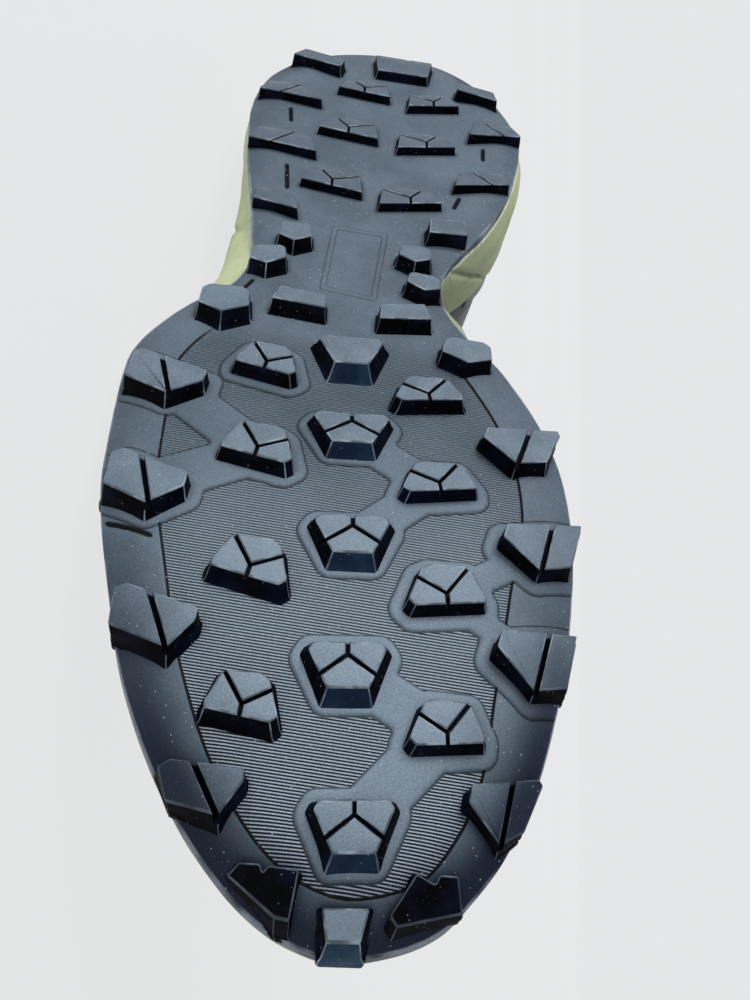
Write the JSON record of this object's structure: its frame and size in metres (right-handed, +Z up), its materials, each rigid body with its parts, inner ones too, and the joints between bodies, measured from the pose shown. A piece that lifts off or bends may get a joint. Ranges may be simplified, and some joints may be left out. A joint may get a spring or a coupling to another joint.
{
  "type": "trail running shoe",
  "caption": "Left trail running shoe lying on its lateral side, with a lugged rubber outsole, foam midsole, hollow mesh upper, tongue and crossed laces.",
  "frame": {"origin": "bottom centre of the bounding box of the shoe as it lies on its lateral side", "axes": "+X from heel to toe, -Y the way the tread faces, +Z up towards the medial side"},
  "size_m": [0.2978, 0.1326, 0.1137],
  "materials": {
    "outsole": "matte moulded rubber",
    "midsole": "soft moulded foam",
    "insole": "brushed fabric on foam",
    "upper": "dark engineered mesh",
    "toe_cap": "textured film overlay",
    "heel_counter": "smooth film overlay",
    "eyestay": "smooth film overlay",
    "tongue": "padded mesh",
    "laces": "woven round lace",
    "heel_loop": "woven tape"
  },
  "bodies": {
    "root": {"outsole": "outsole", "midsole": "midsole", "insole": "insole", "upper": "upper", "toe_cap": "toe_cap", "heel_counter": "heel_counter", "eyestay": "eyestay", "tongue": "tongue", "laces": "laces", "heel_loop": "heel_loop"}
  },
  "joints": []
}
